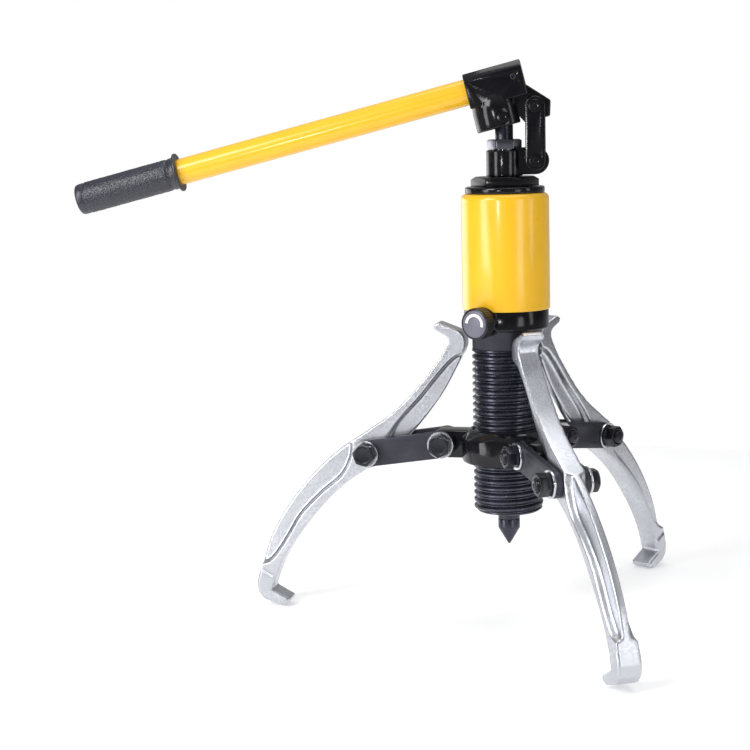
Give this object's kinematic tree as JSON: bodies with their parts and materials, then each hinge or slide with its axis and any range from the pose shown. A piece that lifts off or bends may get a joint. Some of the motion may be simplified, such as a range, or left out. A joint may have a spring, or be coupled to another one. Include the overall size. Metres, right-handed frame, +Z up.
{
  "type": "hydraulic gear puller",
  "caption": "Self-contained hydraulic gear puller: a pump handle drives a central pointed ram, and reversible jaws hang on links from a ring on the threaded body.",
  "frame": {"origin": "the tip of the ram, fully retracted", "axes": "+Z up along the ram's axis, -X towards the pump handle's grip"},
  "size_m": [0.5603, 0.4346, 0.5169],
  "materials": {
    "yellow_paint": "gloss",
    "black_paint": "gloss",
    "black_oxide": "satin",
    "zinc": "bright",
    "steel": "satin",
    "rubber": "matt",
    "knob_grey": "matt",
    "seal": "matt"
  },
  "bodies": {
    "body": {"cylinder_body": "black_oxide", "ram_gland": "black_oxide", "return_spring": "steel", "reservoir_sleeve": "yellow_paint", "top_washer": "black_paint", "top_nut": "black_oxide", "filler_plug": "black_oxide", "pump_cylinder": "black_paint", "gland_nut": "zinc", "plunger_seal": "seal", "suction_ball": "steel"},
    "ram": {"ram": "steel", "ram_point": "black_oxide", "piston_seal": "seal"},
    "plunger": {"plunger": "steel"},
    "pump_links": {"pump_link_front": "black_oxide", "pump_link_rear": "black_oxide", "link_pin_lower": "black_oxide", "link_pin_upper": "black_oxide"},
    "lever": {"rocker": "black_paint", "plunger_pin": "black_oxide", "handle_tube": "yellow_paint", "handle_grip": "rubber", "handle_set_screw": "black_oxide"},
    "release_valve": {"release_knob": "knob_grey", "release_spindle": "steel"},
    "ring": {"ring_nut": "black_paint"},
    "link_1": {"link_a_1": "black_oxide", "link_b_1": "black_oxide", "inner_bolt_1": "black_oxide", "inner_nut_1": "black_oxide", "inner_head_washer_1": "zinc", "inner_nut_washer_1": "zinc", "outer_bolt_1": "black_oxide", "outer_nut_1": "black_oxide", "outer_head_washer_1": "zinc", "outer_nut_washer_1": "zinc"},
    "jaw_1": {"jaw_1": "zinc"},
    "link_2": {"link_a_2": "black_oxide", "link_b_2": "black_oxide", "inner_bolt_2": "black_oxide", "inner_nut_2": "black_oxide", "inner_head_washer_2": "zinc", "inner_nut_washer_2": "zinc", "outer_bolt_2": "black_oxide", "outer_nut_2": "black_oxide", "outer_head_washer_2": "zinc", "outer_nut_washer_2": "zinc"},
    "jaw_2": {"jaw_2": "zinc"},
    "link_3": {"link_a_3": "black_oxide", "link_b_3": "black_oxide", "inner_bolt_3": "black_oxide", "inner_nut_3": "black_oxide", "inner_head_washer_3": "zinc", "inner_nut_washer_3": "zinc", "outer_bolt_3": "black_oxide", "outer_nut_3": "black_oxide", "outer_head_washer_3": "zinc", "outer_nut_washer_3": "zinc"},
    "jaw_3": {"jaw_3": "zinc"}
  },
  "joints": [
    {"name": "ram_stroke", "type": "slide", "parent": "body", "child": "ram", "axis": [0, 0, -1], "range_m": [0, 0.05], "stiffness_N_per_m": 1000, "springref_m": -0.05},
    {"name": "pump_links_swing", "type": "hinge", "parent": "body", "child": "pump_links", "pos_m": [0.0284, 0, 0.3566], "axis": [0, 1, 0], "range_deg": [-0.1, 0.85]},
    {"name": "lever_pump", "type": "hinge", "parent": "pump_links", "child": "lever", "pos_m": [0.0284, 0, 0.4054], "axis": [0, 1, 0], "range_deg": [-4, 40]},
    {"name": "plunger_stroke", "type": "slide", "parent": "body", "child": "plunger", "axis": [0, 0, 1], "range_m": [-0.0022, 0.021]},
    {"name": "release_turn", "type": "hinge", "parent": "body", "child": "release_valve", "pos_m": [-0.0275, -0.04763, 0.213], "axis": [-0.5, -0.866, 0], "range_deg": [0, 180]},
    {"name": "ring_travel", "type": "slide", "parent": "body", "child": "ring", "axis": [0, 0, 1], "range_m": [-0.045, 0.005]},
    {"name": "link_1_hinge", "type": "hinge", "parent": "ring", "child": "link_1", "pos_m": [-0.06049, 0.00786, 0.0955], "axis": [-0.1288, -0.9917, 0], "range_deg": [-0.5, 25]},
    {"name": "jaw_1_hinge", "type": "hinge", "parent": "link_1", "child": "jaw_1", "pos_m": [-0.13218, 0.01717, 0.08534], "axis": [-0.1288, -0.9917, 0], "range_deg": [-0.5, 25]},
    {"name": "link_2_hinge", "type": "hinge", "parent": "ring", "child": "link_2", "pos_m": [0.0253, -0.05551, 0.0955], "axis": [0.91, 0.4147, 0], "range_deg": [-0.5, 25]},
    {"name": "jaw_2_hinge", "type": "hinge", "parent": "link_2", "child": "jaw_2", "pos_m": [0.0552, -0.12112, 0.08408], "axis": [0.91, 0.4147, 0], "range_deg": [-0.5, 25]},
    {"name": "link_3_hinge", "type": "hinge", "parent": "ring", "child": "link_3", "pos_m": [0.03705, 0.04846, 0.0955], "axis": [-0.7944, 0.6074, 0], "range_deg": [-0.5, 25]},
    {"name": "jaw_3_hinge", "type": "hinge", "parent": "link_3", "child": "jaw_3", "pos_m": [0.08089, 0.1058, 0.08458], "axis": [-0.7944, 0.6074, 0], "range_deg": [-0.5, 25]}
  ],
  "couplings": [
    {"joint": "plunger_stroke", "follows": "lever_pump", "m_per_rad": 0.0298},
    {"joint": "pump_links_swing", "follows": "lever_pump", "ratio": 0.02}
  ]
}
